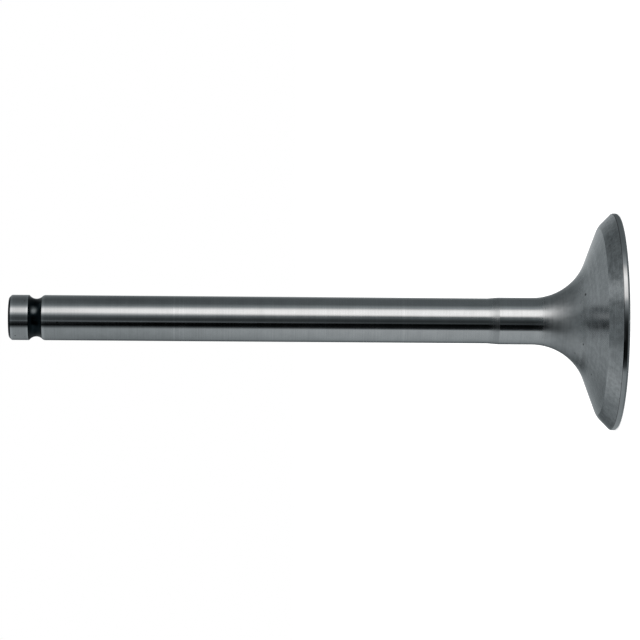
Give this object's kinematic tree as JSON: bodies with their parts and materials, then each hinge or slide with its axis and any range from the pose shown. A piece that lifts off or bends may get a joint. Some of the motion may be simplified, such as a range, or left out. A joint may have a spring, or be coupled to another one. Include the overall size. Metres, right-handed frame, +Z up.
{
  "type": "engine valve",
  "caption": "Poppet valve with a flat-faced head, conical seat, long neck fillet, ground stem and a round keeper groove near the tip.",
  "frame": {"origin": "centre of the combustion face, which the valve stands on", "axes": "+Z up the stem axis, from the combustion face to the tip"},
  "size_m": [0.0384, 0.0384, 0.1073],
  "materials": {
    "valve_steel": "ground stem and seat, satin turned head, dark keeper groove"
  },
  "bodies": {
    "root": {"valve": "valve_steel"}
  },
  "joints": []
}
